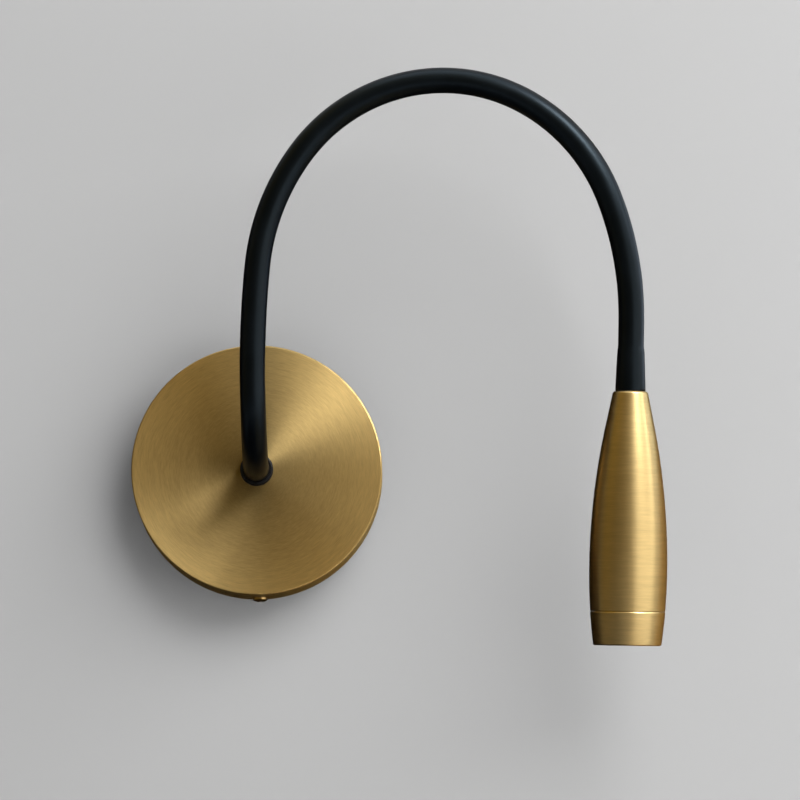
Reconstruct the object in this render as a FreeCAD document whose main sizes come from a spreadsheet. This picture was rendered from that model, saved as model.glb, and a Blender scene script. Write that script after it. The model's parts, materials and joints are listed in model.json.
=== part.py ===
import FreeCAD, Part

import math
import os
import re

import Sketcher
from FreeCAD import Placement, Rotation, Vector

# A bedside wall reading lamp: a round brushed brass canopy on the wall, a black sleeved
# flexible neck that arches over to the right, and a slim turned brass head that points down.
#
# Frame: the wall is the plane Y = 0, the room is on the -Y side, +Z is up, and the origin
# is the middle of the wall screw pattern. "Out" below means the distance from the wall.

# ---------------------------------------------------------------------------------------
# Driving dimensions, in millimetres and degrees
# ---------------------------------------------------------------------------------------
SIZES = {
    # canopy, the brass cup on the wall
    "canopy_radius": 50.4,
    "canopy_depth": 22,
    "canopy_wall": 1.2,
    "canopy_edge": 0.6,
    # wall bracket, folded from sheet
    "bracket_gap": 1.3,
    "bracket_sheet": 1.5,
    "arm_width": 18,
    "tab_inset": 1,
    "tab_end": 5,
    "wing_margin": 1,
    "wall_screw_spacing": 60,
    "wall_slot_length": 9,
    "wall_slot_width": 4.5,
    # supply cable inlet
    "inlet_radius": 6,
    "grommet_wall": 2,
    "grommet_flange": 2,
    "grommet_height": 3,
    # canopy side screws, M4
    "side_screw_radius": 1.95,
    "side_screw_end": 3,
    "side_screw_level": 9,
    "side_screw_turn": -1.5,
    "side_head_radius": 3.05,
    "side_head_height": 1.6,
    # clearances
    "fit_gap": 0.1,
    "thread_gap": 0.05,
    "hole_gap": 0.2,
    "seat_gap": 0.05,
    # neck root: ferrule, collar, washer and nut
    "stud_radius": 4.9,
    "stud_end": 2,
    "shoulder_step": 0.6,
    "shoulder_height": 1.2,
    "spigot_wall": 0.6,
    "spigot_length": 8,
    "collar_skirt": 0.85,
    "collar_height": 3,
    "collar_edge": 0.6,
    "washer_rim": 3.3,
    "washer_sheet": 0.8,
    "nut_wall": 2.1,
    "nut_height": 3,
    # flexible neck: sleeve over a steel core, with the leads inside
    "sleeve_radius": 5.1,
    "sleeve_slack": 0.2,
    "core_wall": 1,
    "lead_radius": 0.75,
    "ball_radius": 8,
    "ball_gap": 0.3,
    "hinge_stand_off": 6,
    # neck route: one row of lengths, turns and rolls, from the wall to the head
    "elbow_radius": 28,
    "elbow_turn": 86,
    "elbow_roll": 1.5,
    "span_length": 50,
    "span_turn_1": 7,
    "span_turn_2": 31.5,
    "span_turn_3": 41,
    "span_turn_4": 42.5,
    "span_turn_5": 38.5,
    "span_turn_6": 22,
    "span_roll_1": -88,
    "span_roll_2": -3,
    "span_roll_3": -2,
    "span_roll_4": -2,
    "span_roll_5": 5,
    "span_roll_6": 0.5,
    "plain_length": 10,
    # sleeve flare over the head ferrule
    "flare_length": 18,
    "flare_step_length": 4,
    "flare_step": 0.3,
    "flare_rise": 0.9,
    "flare_wall": 1.05,
    # head ferrule, M6, and its nut
    "head_stud_radius": 2.95,
    "head_stud_end": 1.8,
    "head_nut_wall": 2.05,
    "head_nut_height": 3.2,
    # head shell
    "head_length": 100.2,
    "head_top_edge": 1,
    "head_top_flare": 1.05,
    "cone_length": 15,
    "cone_radius": 9.94,
    "belly_rise": 1.9,
    "belly_from_mouth": 30.2,
    "mouth_radius": 13.5,
    "mouth_edge": 0.6,
    "head_top_wall": 4,
    "nut_room_gap": 0.33,
    "cavity_cone_height": 32,
    "slug_step": 1.2,
    "shell_wall": 1,
    "seam_edge": 0.22,
    # front ring
    "ring_length": 13.4,
    "ring_edge": 0.55,
    "ring_thread_length": 6,
    "ring_thread_depth": 0.4,
    "ring_wall": 0.9,
    "lip_height": 1.4,
    "lip_reach": 1.4,
    # light engine, from the mouth upwards
    "seal_height": 0.6,
    "seal_inset": 0.2,
    "lens_flange_height": 1.5,
    "lens_height": 9,
    "lens_tip_wall": 1.1,
    "lens_well_gap": 1.3,
    "lens_well_depth": 3,
    "holder_wall": 1.2,
    "board_gap": 1,
    "board_sheet": 1.6,
    "lens_gap": 4.8,
    "pad_inset": 0.5,
    "pad_sheet": 0.4,
    "slug_length": 28,
    "slug_groove": 2,
    "slug_groove_depth": 2.4,
    "slug_hole_gap": 0.4,
    "emitter_size": 5,
    "emitter_height": 1,
    "emitter_dome": 1.6,
    "board_screw_inset": 3.5,
    "board_screw_radius": 1.2,
    "board_screw_length": 8,
    "board_head_rim": 1,
    "board_hole_depth": 4,
    "board_head_height": 1.5,
    # driver
    "driver_inner": 15,
    "driver_width": 21,
    "driver_height": 32,
    "component_height": 6,
    "component_gap": 1.6,
    "lid_lip": 1.5,
    "driver_wall": 1.2,
    "lug_length": 7,
    "lug_width": 10,
    "lug_sheet": 2,
    "board_post": 2.3,
    "circuit_sheet": 1.2,
    # terminal block
    "block_inner": 20,
    "block_width": 17,
    "block_roof": 3.9,
    "block_margin": 4.5,
    "pole_wall": 0.3,
    "clamp_wall": 1,
    "clamp_gap": 0.4,
    "clamp_screw_radius": 1.25,
    # M3 fixing screws and the heavier wires
    "fixing_radius": 1.45,
    "fixing_head": 2.7,
    "fixing_head_height": 1.8,
    "wire_radius": 1.2,
    "wire_rise": 0.6,
    "wire_inset": 2.1,
    "wire_spacing": 1.6,
    # earth point
    "earth_level": 17.5,
    "earth_stud_radius": 1.95,
    "earth_stud_length": 8,
    "earth_ring_wall": 2.05,
    "earth_sheet": 0.8,
    "earth_nut_wall": 1.55,
    "earth_nut_height": 3.2,
    "barrel_wall": 0.5,
}

# Sizes that follow from the ones above: each is what it fits plus a wall or a clearance
FITS = {
    # neck, from the leads outwards
    "lead_offset": "lead_radius + fit_gap",
    "lead_bore": "lead_offset + lead_radius + hole_gap",
    "core_bore": "lead_bore + spigot_wall + fit_gap",
    "spigot_radius": "core_bore - fit_gap",
    "core_radius": "core_bore + core_wall",
    "shoulder_radius": "max(sleeve_radius; stud_radius + hole_gap) + shoulder_step",
    "collar_radius": "shoulder_radius + fit_gap + collar_skirt",
    "nut_flats": "2 * (stud_radius + nut_wall)",
    "washer_radius": "stud_radius + washer_rim",
    "stud_length": "canopy_wall + washer_sheet + nut_height + stud_end",
    # head, from the mouth inwards
    "belly_radius": "mouth_radius + belly_rise",
    "ring_bore": "mouth_radius - ring_wall",
    "ring_thread_radius": "ring_bore + ring_thread_depth",
    "lip_radius": "ring_bore - lip_reach",
    "seal_radius": "lip_radius + seal_inset",
    "head_bore": "ring_thread_radius - shell_wall",
    "cavity_radius": "head_bore - slug_step",
    "board_radius": "head_bore - board_gap",
    "pad_radius": "board_radius - pad_inset",
    "board_screw_circle": "board_radius - board_screw_inset",
    "board_head_radius": "board_screw_radius + board_head_rim",
    "slug_hole": "lead_bore + slug_hole_gap",
    "lens_well_radius": "emitter_dome + lens_well_gap",
    "lens_tip_radius": "lens_well_radius + lens_tip_wall",
    "board_level": "lip_height + seal_height + lens_height + lens_gap",
    "head_nut_flats": "2 * (head_stud_radius + head_nut_wall)",
    "nut_room_radius": "head_nut_flats / sqrt(3) + nut_room_gap",
    "head_stud_length": "head_top_wall + head_nut_height + head_stud_end",
    # driver, from the wall outwards
    "circuit_face": "bracket_sheet + driver_wall + board_post + circuit_sheet",
    "component_stack": "component_height + component_gap + lid_lip",
    "driver_depth": "circuit_face - bracket_sheet + component_stack + driver_wall",
    "wire_level": "circuit_face + wire_radius + wire_rise",
    "wire_line_2": "driver_height / 2 - driver_wall - wire_radius - wire_inset",
    "wire_line_1": "wire_line_2 - 2 * wire_radius - wire_spacing",
    # terminal block and earth point, from the wires outwards
    "clamp_bore": "wire_radius + clamp_gap",
    "clamp_radius": "clamp_bore + clamp_wall",
    "pole_reach": "clamp_radius + fit_gap + fixing_radius + hole_gap",
    "pole_pitch": "2 * pole_reach + pole_wall",
    "block_depth": "wire_level - bracket_sheet + clamp_radius + block_roof",
    "barrel_radius": "wire_radius + barrel_wall",
    "earth_ring_radius": "earth_stud_radius + earth_ring_wall",
    "earth_nut_flats": "2 * (earth_stud_radius + earth_nut_wall)",
    # bracket
    "wing_height": "driver_height + 2 * lug_length + 2 * wing_margin",
    "tab_width": "arm_width - 2 * tab_inset",
    "tab_length": "side_screw_level + tab_end",
    "side_screw_length": "canopy_wall + bracket_gap + bracket_sheet + side_screw_end",
    "grommet_bore": "inlet_radius - grommet_wall",
}

doc = FreeCAD.newDocument("wall_reading_lamp")
sheet = doc.addObject("Spreadsheet::Sheet", "Sizes")
for row, (alias, content) in enumerate((SIZES | FITS).items(), 1):
    sheet.set(f"A{row}", alias)
    sheet.set(f"B{row}", f"={content}")
    sheet.setAlias(f"B{row}", alias)
doc.recompute()


def full(expression):
    """The expression with each size's name pointing at its cell."""
    return re.sub(
        r"[a-z_]+[a-z_0-9]*",
        lambda word: "Sizes." + word[0] if word[0] in SIZES | FITS else word[0],
        str(expression),
    )


def size(expression):
    """The value of an expression of sizes."""
    return float(sheet.evalExpression(full(expression)))


def bind(thing, **expressions):
    """Ties properties of an object to expressions of sizes."""
    for name, expression in expressions.items():
        thing.setExpression(name.replace("__", "."), full(expression))


# Expressions that several pieces share
SLEEVE_BORE = "(core_radius + sleeve_slack)"
STUB_LENGTH = "(hinge_stand_off + ball_radius)"
HEAD_RUN = "(plain_length + flare_length)"
FLARE_RADIUS = "(sleeve_radius + flare_rise)"
CANOPY_INSIDE = "(canopy_depth - canopy_wall)"
BRACKET_REACH = "(canopy_radius - canopy_wall - bracket_gap)"
SEAM = "(head_length - ring_length)"
BOARD_FACE = "(head_length - board_level)"
BOARD_BACK = f"({BOARD_FACE} - board_sheet)"
SLUG_FACE = f"({BOARD_BACK} - pad_sheet)"
SLUG_BACK = f"({SLUG_FACE} - slug_length)"
LIP = "(head_length - lip_height)"
LENS_FACE = f"({LIP} - seal_height)"
LENS_SEAT = f"({LENS_FACE} - lens_flange_height)"


# ---------------------------------------------------------------------------------------
# Helpers that make document objects
# ---------------------------------------------------------------------------------------
pieces = []
OUTWARD = Rotation(Vector(1, 0, 0), 90)


def keep(node, thing):
    """Marks an object as a piece of the lamp, with its node's name."""
    thing.Label = node
    pieces.append(thing)
    return thing


def label(kind):
    """A fresh name for a helper object."""
    label.count += 1
    return f"{kind}_{label.count}"


label.count = 0


def out(x, z, level="0"):
    """A place at X and Z, a distance out from the wall, whose own Z points into the room."""
    return Placement(Vector(size(x), -size(level), size(z)), OUTWARD)


def sketch_plane(body, role):
    return [plane for plane in body.Origin.OriginFeatures if plane.Role == role][0]


def arc_through(start, end, radius, side):
    """An arc between two points, bulging to the left of the way (side 1) or right (-1)."""
    chord = end - start
    half = chord.Length / 2
    rise = radius - math.sqrt(radius**2 - half**2)
    left = Vector(-chord.y, chord.x, 0).normalize()
    return Part.Arc(start, (start + end) * 0.5 + left * (rise * side), end)


def nearer_end(sketch, edge, point):
    gaps = [sketch.getPoint(edge, end).distanceToPoint(point) for end in (1, 2)]
    return 1 if gaps[0] < gaps[1] else 2


def turned(outline, arcs=None):
    """A body turned about its own Z: (radius, height) corners, and arcs by corner number."""
    arcs = arcs or {}
    body = doc.addObject("PartDesign::Body", label("turned"))
    sketch = body.newObject("Sketcher::SketchObject", label("outline"))
    sketch.AttachmentSupport = (sketch_plane(body, "XZ_Plane"), [""])
    sketch.MapMode = "FlatFace"
    corners = [Vector(size(radius), size(height), 0) for radius, height in outline]
    count = len(corners)
    edges = []
    for number, start in enumerate(corners):
        end = corners[(number + 1) % count]
        if number in arcs:
            radius, side = arcs[number]
            edges.append(sketch.addGeometry(arc_through(start, end, size(radius), side)))
        else:
            edges.append(sketch.addGeometry(Part.LineSegment(start, end)))
    for number, edge in enumerate(edges):
        following = edges[(number + 1) % count]
        corner = corners[(number + 1) % count]
        ends = nearer_end(sketch, edge, corner), nearer_end(sketch, following, corner)
        sketch.addConstraint(
            Sketcher.Constraint("Coincident", edge, ends[0], following, ends[1])
        )
    for number, corner in enumerate(corners):
        end = nearer_end(sketch, edges[number], corner)
        for axis, value, expression in (
            ("DistanceX", corner.x, outline[number][0]),
            ("DistanceY", corner.y, outline[number][1]),
        ):
            rule = Sketcher.Constraint(axis, edges[number], end, value)
            index = sketch.addConstraint(rule)
            sketch.setExpression(f"Constraints[{index}]", full(expression))
    for number, (radius, _) in arcs.items():
        rule = Sketcher.Constraint("Radius", edges[number], size(radius))
        index = sketch.addConstraint(rule)
        sketch.setExpression(f"Constraints[{index}]", full(radius))
    turn = body.newObject("PartDesign::Revolution", label("turn"))
    turn.Profile = sketch
    turn.ReferenceAxis = (sketch, ["V_Axis"])
    turn.Angle = 360
    return body


def at(thing, placement):
    thing.Placement = placement
    return thing


def ring(inner, outer, low, high):
    """The outline of a plain ring."""
    return [(inner, low), (outer, low), (outer, high), (inner, high)]


def box(x, level, z):
    """A box between two X values, two distances from the wall and two Z values."""
    block = doc.addObject("Part::Box", label("box"))
    bind(block, Length=f"({x[1]}) - ({x[0]})")
    bind(block, Width=f"({level[1]}) - ({level[0]})")
    bind(block, Height=f"({z[1]}) - ({z[0]})")
    bind(block, Placement__Base__x=x[0])
    bind(block, Placement__Base__y=f"-({level[1]})")
    bind(block, Placement__Base__z=z[0])
    return block


def rod(radius, x, z, level):
    """A cylinder that points out from the wall, between two distances from it."""
    bar = doc.addObject("Part::Cylinder", label("rod"))
    bar.Placement = Placement(Vector(0, 0, 0), OUTWARD)
    bind(bar, Radius=radius, Height=f"({level[1]}) - ({level[0]})")
    bind(bar, Placement__Base__x=x)
    bind(bar, Placement__Base__y=f"-({level[0]})")
    bind(bar, Placement__Base__z=z)
    return bar


def cross_rod(radius, x, level, z):
    """A cylinder along X."""
    bar = doc.addObject("Part::Cylinder", label("rod"))
    bar.Placement = Placement(Vector(0, 0, 0), Rotation(Vector(0, 1, 0), 90))
    bind(bar, Radius=radius, Height=f"({x[1]}) - ({x[0]})")
    bind(bar, Placement__Base__x=x[0])
    bind(bar, Placement__Base__y=f"-({level})")
    bind(bar, Placement__Base__z=z)
    return bar


def joined(things):
    """One solid from several that touch."""
    if len(things) == 1:
        return things[0]
    union = doc.addObject("Part::MultiFuse", label("union"))
    union.Shapes = things
    union.Refine = True
    return union


def group(things):
    """Several separate solids in one piece's node."""
    batch = doc.addObject("Part::Compound", label("group"))
    batch.Links = things
    return batch


def minus(thing, tools):
    """The thing with the tools cut away."""
    cut = doc.addObject("Part::Cut", label("cut"))
    cut.Base = thing
    cut.Tool = joined(tools)
    return cut


def hexagon(flats, height, bore, placement):
    """A hexagon nut with a plain bore and one chamfered face."""
    prism = doc.addObject("Part::Prism", label("hexagon"))
    prism.Polygon = 6
    bind(prism, Circumradius=f"{flats} / sqrt(3)", Height=height)
    hole = doc.addObject("Part::Cylinder", label("bore"))
    bind(hole, Radius=bore, Height=height)
    cone = doc.addObject("Part::Cone", label("chamfer"))
    bind(cone, Radius1=f"{flats} / sqrt(3) + {height}", Radius2=f"{flats} / 2")
    bind(cone, Height=f"{flats} / sqrt(3) - {flats} / 2 + {height}")
    bind(cone, Placement__Base__z=f"{flats} / 2 - {flats} / sqrt(3)")
    faced = doc.addObject("Part::Common", label("faced"))
    faced.Base = prism
    faced.Tool = cone
    return at(minus(faced, [hole]), placement)


# ---------------------------------------------------------------------------------------
# Neck route: a chain of tangent arcs, each with its length, its turn and the roll of its
# plane about the tube before the turn. The frame at a station is its point, the tube's
# direction and the side that the tube bends to.
# ---------------------------------------------------------------------------------------
class Span:
    """One stretch of the neck, straight or an arc."""

    def __init__(self, point, way, bend, length, turn=0.0):
        self.point = point
        self.way = way
        self.bend = bend
        self.length = length
        self.turn = turn
        self.radius = length / math.radians(turn) if turn else None

    def station(self, distance):
        """The point, the way and the bend side at a distance along the span."""
        if not self.turn:
            return self.point + self.way * distance, self.way, self.bend
        angle = distance / self.radius
        across = self.radius * (1 - math.cos(angle))
        point = self.point + self.way * (self.radius * math.sin(angle)) + self.bend * across
        way = self.way * math.cos(angle) + self.bend * math.sin(angle)
        bend = self.bend * math.cos(angle) - self.way * math.sin(angle)
        return point, way, bend


def neck_spans():
    """The stub, the elbow, the six spans of the arch and the straight run to the head."""
    elbow_length = size("elbow_radius * elbow_turn * pi / 180")
    table = [(size(STUB_LENGTH), 0, 0)]
    table += [(elbow_length, size("elbow_turn"), size("elbow_roll"))]
    for number in range(1, 7):
        turn = size(f"span_turn_{number}")
        table += [(size("span_length"), turn, size(f"span_roll_{number}"))]
    table += [(size(HEAD_RUN), 0, 0)]
    point, way, bend = Vector(0, -size("canopy_depth"), 0), Vector(0, -1, 0), Vector(0, 0, 1)
    spans = []
    for length, turn, roll in table:
        bend = Rotation(way, roll).multVec(bend)
        spans.append(Span(point, way, bend, length, turn))
        point, way, bend = spans[-1].station(length)
    return spans


SPANS = neck_spans()
BALL = size("ball_radius")
HINGES = [span.station(span.length - BALL) for span in SPANS[:-1]]
HEAD_POINT, HEAD_WAY, HEAD_BEND = SPANS[-1].station(SPANS[-1].length)
HEAD_SIDE = HEAD_WAY.cross(HEAD_BEND)
HEAD_TURN = Rotation(HEAD_BEND * -1, HEAD_SIDE * -1, HEAD_WAY, "ZXY")
HEAD = Placement(HEAD_POINT, HEAD_TURN)
NECK_ROOT = out("0", "0")


def tool_ball(station, radius):
    ball = doc.addObject("Part::Sphere", label("ball"))
    bind(ball, Radius=radius)
    ball.Placement.Base = station[0]
    return ball


def end_tool(station):
    """What lies past the ball that ends a length of neck: a short bar with the ball cut out."""
    point, way, _ = station
    bar = doc.addObject("Part::Cylinder", label("past_end"))
    bind(bar, Radius="ball_radius + 1", Height="ball_radius")
    start = point + way * size("ball_radius / 2")
    bar.Placement = Placement(start, Rotation(Vector(0, 0, 1), way))
    return minus(bar, [tool_ball(station, "ball_radius")])


def cut_tools(number):
    """The tools that give length number of the neck its ball ends."""
    tools = []
    if number > 0:
        tools.append(tool_ball(HINGES[number - 1], "ball_radius + ball_gap"))
    if number < len(HINGES):
        tools.append(end_tool(HINGES[number]))
    return tools


def bent_bar(span, radius, along_bend=0.0, along_side=0.0):
    """A round bar along an arc span, a little longer than it at its start."""
    side = span.way.cross(span.bend)
    bar = doc.addObject("Part::Torus", label("bent_bar"))
    major = span.radius - along_bend
    back = math.degrees(size("ball_radius / 2.5") / span.radius)
    bar.Radius1 = major
    bind(bar, Radius2=radius)
    bar.Angle3 = span.turn + back
    centre = span.point + span.bend * span.radius + side * along_side
    frame = Rotation(span.bend * -1, span.way, side, "ZXY")
    bar.Placement = Placement(centre, frame * Rotation(Vector(0, 0, 1), -back))
    return bar


def straight_bar(point, way, radius, length, back=0.0):
    bar = doc.addObject("Part::Cylinder", label("bar"))
    bind(bar, Radius=radius, Height=f"{length} + {back}")
    start = point - way * size(back)
    bar.Placement = Placement(start, Rotation(Vector(0, 0, 1), way))
    return bar


def rounded_route(points, bend=None):
    """Straight runs joined by tangent arcs, as large as the runs or the given bend allow."""
    edges = []
    start = points[0]
    for before, corner, after in zip(points, points[1:], points[2:]):
        reach = 0.45 * min((corner - before).Length, (after - corner).Length)
        back = (before - corner).normalize()
        onward = (after - corner).normalize()
        half_turn = back.getAngle(onward) / 2
        radius = reach * math.tan(half_turn)
        if bend and radius > bend:
            radius = bend
            reach = radius / math.tan(half_turn)
        first, last = corner + back * reach, corner + onward * reach
        middle = (back + onward).normalize()
        crest = corner + middle * (radius / math.sin(half_turn) - radius)
        edges.append(Part.makeLine(start, first))
        edges.append(Part.Arc(first, crest, last).toShape())
        start = last
    edges.append(Part.makeLine(start, points[-1]))
    return Part.Wire(edges)


def wire_solid(points, radius, bend):
    """A wire of round section along a rounded route."""
    route = rounded_route(points, bend)
    section = Part.Wire(Part.makeCircle(radius, points[0], points[1] - points[0]))
    return route.makePipeShell([section], True, False)


def lead(points, radius="lead_radius", bend=None):
    """A lead as a plain feature: its route is worked out from the sheet."""
    strand = doc.addObject("Part::Feature", label("lead"))
    strand.Shape = wire_solid(points, size(radius), bend)
    return strand


# ---------------------------------------------------------------------------------------
# Wall side: bracket, inlet, earth point
# ---------------------------------------------------------------------------------------
WING_REACH = f"sqrt({BRACKET_REACH}^2 - (wing_height / 2)^2)"
DRIVER_OUTER = "(driver_inner + driver_width)"
DRIVER_MIDDLE = "(driver_inner + driver_width / 2)"
LUG_LINE = "(driver_height / 2 + lug_length / 2)"
BLOCK_MIDDLE = "(block_inner + block_width / 2)"
SHEET = ("0", "bracket_sheet")


def side_place(sign):
    """A place on the lamp's axis whose own Z points out through a side screw."""
    tilt = Rotation(Vector(0, 1, 0), size("side_screw_turn"))
    up = Rotation(Vector(0, 0, 1), Vector(0, 0, sign))
    return Placement(Vector(0, -size("side_screw_level"), 0), tilt * up)


def side_bar(sign, radius):
    bar = doc.addObject("Part::Cylinder", label("side_bar"))
    bind(bar, Radius=radius, Height="canopy_radius + side_head_height")
    bar.Placement = side_place(sign)
    return bar


def slot(z):
    half_run = "(wall_slot_length - wall_slot_width) / 2"
    half_width = "wall_slot_width / 2"
    middle = box(
        (f"-({half_width})", half_width),
        SHEET,
        (f"{z} - {half_run}", f"{z} + {half_run}"),
    )
    ends = [rod(half_width, "0", f"{z} {sign} {half_run}", SHEET) for sign in "+-"]
    return joined([middle] + ends)


def make_bracket():
    """Folded steel: an upright arm with two tapped tabs, a wing each side and the earth stud."""
    half_arm = "arm_width / 2"
    upright = box((f"-{half_arm}", half_arm), SHEET, (f"-{BRACKET_REACH}", BRACKET_REACH))
    half_wing = "wing_height / 2"
    wings = box((f"-{WING_REACH}", WING_REACH), SHEET, (f"-{half_wing}", half_wing))
    half_tab = "tab_width / 2"
    tabs = []
    for low, high in (
        (f"{BRACKET_REACH} - bracket_sheet", BRACKET_REACH),
        (f"-{BRACKET_REACH}", f"bracket_sheet - {BRACKET_REACH}"),
    ):
        tabs.append(box((f"-{half_tab}", half_tab), ("0", "tab_length"), (low, high)))
    stud = rod("earth_stud_radius", "0", "-earth_level", ("0", "bracket_sheet + earth_stud_length"))
    holes = [rod("inlet_radius", "0", "0", SHEET)]
    holes += [slot("wall_screw_spacing / 2"), slot("-wall_screw_spacing / 2")]
    holes += [side_bar(sign, "side_screw_radius + thread_gap") for sign in (1, -1)]
    tapped = "fixing_radius + thread_gap"
    for sign in ("", "-"):
        holes.append(rod(tapped, DRIVER_MIDDLE, f"{sign}{LUG_LINE}", SHEET))
        holes.append(rod(tapped, f"-{BLOCK_MIDDLE}", f"{sign}pole_pitch / 2", SHEET))
    keep("mounting_bracket", minus(joined([upright, wings] + tabs + [stud]), holes))


def make_inlet():
    """A snap-in bush where the supply cable comes through the bracket."""
    outline = [
        ("grommet_bore", "fit_gap"),
        ("inlet_radius - fit_gap", "fit_gap"),
        ("inlet_radius - fit_gap", "bracket_sheet + seat_gap"),
        ("inlet_radius + grommet_flange", "bracket_sheet + seat_gap"),
        ("inlet_radius + grommet_flange", "grommet_height - 0.5"),
        ("inlet_radius + grommet_flange - 0.5", "grommet_height"),
        ("grommet_bore", "grommet_height"),
    ]
    keep("cable_grommet", at(turned(outline), out("0", "0")))


def make_earth_point():
    """A ring terminal and its nut on the bracket's stud."""
    base = "bracket_sheet"
    top = "(bracket_sheet + earth_sheet)"
    eye = rod("earth_ring_radius", "0", "-earth_level", (base, top))
    tongue = box(
        ("-earth_ring_radius - 3", "0"),
        (base, top),
        ("-earth_level - barrel_radius", "barrel_radius - earth_level"),
    )
    barrel_level = "bracket_sheet + barrel_radius"
    far = "-earth_ring_radius - 6.5"
    barrel = cross_rod("barrel_radius", (far, "-earth_ring_radius - 2"), barrel_level, "-earth_level")
    eye_hole = rod("earth_stud_radius + fit_gap", "0", "-earth_level", (base, top))
    reach = (far, "-earth_ring_radius - 3")
    bore = cross_rod("wire_radius + seat_gap", reach, barrel_level, "-earth_level")
    keep("earth_ring_terminal", minus(joined([eye, tongue, barrel]), [eye_hole, bore]))
    nut = hexagon(
        "earth_nut_flats",
        "earth_nut_height",
        "earth_stud_radius + thread_gap",
        out("0", "-earth_level", top),
    )
    keep("earth_nut", nut)


# ---------------------------------------------------------------------------------------
# Canopy and its side screws
# ---------------------------------------------------------------------------------------
def make_canopy():
    """A spun cup with a rounded front edge, a centre hole and two side holes."""
    inside = "canopy_radius - canopy_wall"
    outline = [
        ("canopy_radius", "0"),
        ("canopy_radius", "canopy_depth - canopy_edge"),
        ("canopy_radius - canopy_edge", "canopy_depth"),
        ("stud_radius + hole_gap", "canopy_depth"),
        ("stud_radius + hole_gap", CANOPY_INSIDE),
        (inside, CANOPY_INSIDE),
        (inside, "0"),
    ]
    cup = at(turned(outline, {1: ("canopy_edge", -1)}), out("0", "0"))
    holes = [side_bar(sign, "side_screw_radius + hole_gap") for sign in (1, -1)]
    keep("canopy", minus(cup, holes))


def make_side_screws():
    """Two M4 pan head screws with crossed recesses, through the canopy into the tabs."""
    foot = "(canopy_radius - side_screw_length)"
    head = "(canopy_radius + seat_gap)"
    outline = [
        ("0", foot),
        ("side_screw_radius - 0.4", foot),
        ("side_screw_radius", f"{foot} + 0.4"),
        ("side_screw_radius", head),
        ("side_head_radius", head),
        ("side_head_radius", f"{head} + side_head_height / 2"),
        ("side_head_radius / 2", f"{head} + side_head_height"),
        ("0", f"{head} + side_head_height"),
    ]
    arcs = {5: ("side_head_radius", -1)}
    screws = []
    for sign in (1, -1):
        blank = at(turned(outline, arcs), side_place(sign))
        recess = []
        for turn in (0, 90):
            blade = doc.addObject("Part::Box", label("blade"))
            bind(blade, Length="side_head_radius * 1.1", Width="0.7", Height="1.2")
            corner = Vector(-size("side_head_radius * 0.55"), -0.35, size(f"{head} + 0.6"))
            spin = Placement(Vector(0, 0, 0), Rotation(Vector(0, 0, 1), turn))
            blade.Placement = side_place(sign) * spin * Placement(corner, Rotation())
            recess.append(blade)
        screws.append(minus(blank, recess))
    keep("canopy_side_screws", group(screws))


# ---------------------------------------------------------------------------------------
# Neck root
# ---------------------------------------------------------------------------------------
def make_neck_root():
    """The threaded ferrule that carries the neck, with its collar, washer and nut."""
    stud_end = "(canopy_depth - stud_length)"
    shoulder = "(canopy_depth + shoulder_height)"
    ferrule = [
        ("lead_bore", stud_end),
        ("stud_radius - 0.5", stud_end),
        ("stud_radius", f"{stud_end} + 0.5"),
        ("stud_radius", "canopy_depth"),
        ("shoulder_radius", "canopy_depth"),
        ("shoulder_radius", shoulder),
        ("spigot_radius", shoulder),
        ("spigot_radius", f"{shoulder} + spigot_length"),
        ("lead_bore", f"{shoulder} + spigot_length"),
    ]
    keep("base_ferrule", at(turned(ferrule), NECK_ROOT))
    collar_top = "canopy_depth + collar_height"
    collar = [
        ("shoulder_radius + fit_gap", "canopy_depth"),
        ("collar_radius", "canopy_depth"),
        ("collar_radius", f"{collar_top} - collar_edge"),
        ("collar_radius - collar_edge", collar_top),
        ("sleeve_radius + fit_gap", collar_top),
        ("sleeve_radius + fit_gap", f"{shoulder} + fit_gap"),
        ("shoulder_radius + fit_gap", f"{shoulder} + fit_gap"),
    ]
    keep("neck_collar", at(turned(collar, {2: ("collar_edge * 1.2", -1)}), NECK_ROOT))
    washer_face = f"({CANOPY_INSIDE} - washer_sheet)"
    washer = ring("stud_radius + hole_gap", "washer_radius", washer_face, CANOPY_INSIDE)
    keep("base_lock_washer", at(turned(washer), NECK_ROOT))
    nut_place = Placement(
        Vector(0, -size(washer_face), 0), OUTWARD * Rotation(Vector(1, 0, 0), 180)
    )
    nut = hexagon("nut_flats", "nut_height", "stud_radius + thread_gap", nut_place)
    keep("base_lock_nut", nut)


# ---------------------------------------------------------------------------------------
# Flexible neck
# ---------------------------------------------------------------------------------------
def lead_offsets():
    """Where each lead runs in each span's section, as its offsets to the bend and side."""
    offsets = []
    for start in (1, -1):
        offset = Vector(start * size("lead_offset"), 0, 0)
        run = []
        for span in SPANS:
            side = span.way.cross(span.bend)
            along_bend, along_side = offset.dot(span.bend), offset.dot(side)
            run.append((along_bend, along_side))
            _, way, bend = span.station(span.length)
            offset = bend * along_bend + way.cross(bend) * along_side
        offsets.append(run)
    return offsets


LEAD_OFFSETS = lead_offsets()


def make_root_tubes():
    """The straight stub of core and sleeve on the ferrule."""
    tools = cut_tools(0)
    start = SPANS[0].point + SPANS[0].way * size("shoulder_height")
    way = SPANS[0].way
    length = f"{STUB_LENGTH} - shoulder_height"
    for node, outer, inner in (
        ("neck_sleeve_base", "sleeve_radius", SLEEVE_BORE),
        ("neck_core_base", "core_radius", "core_bore"),
    ):
        tube = straight_bar(start, way, outer, length)
        bore = straight_bar(start, way, inner, length)
        keep(node, minus(tube, [bore] + tools))


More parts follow.
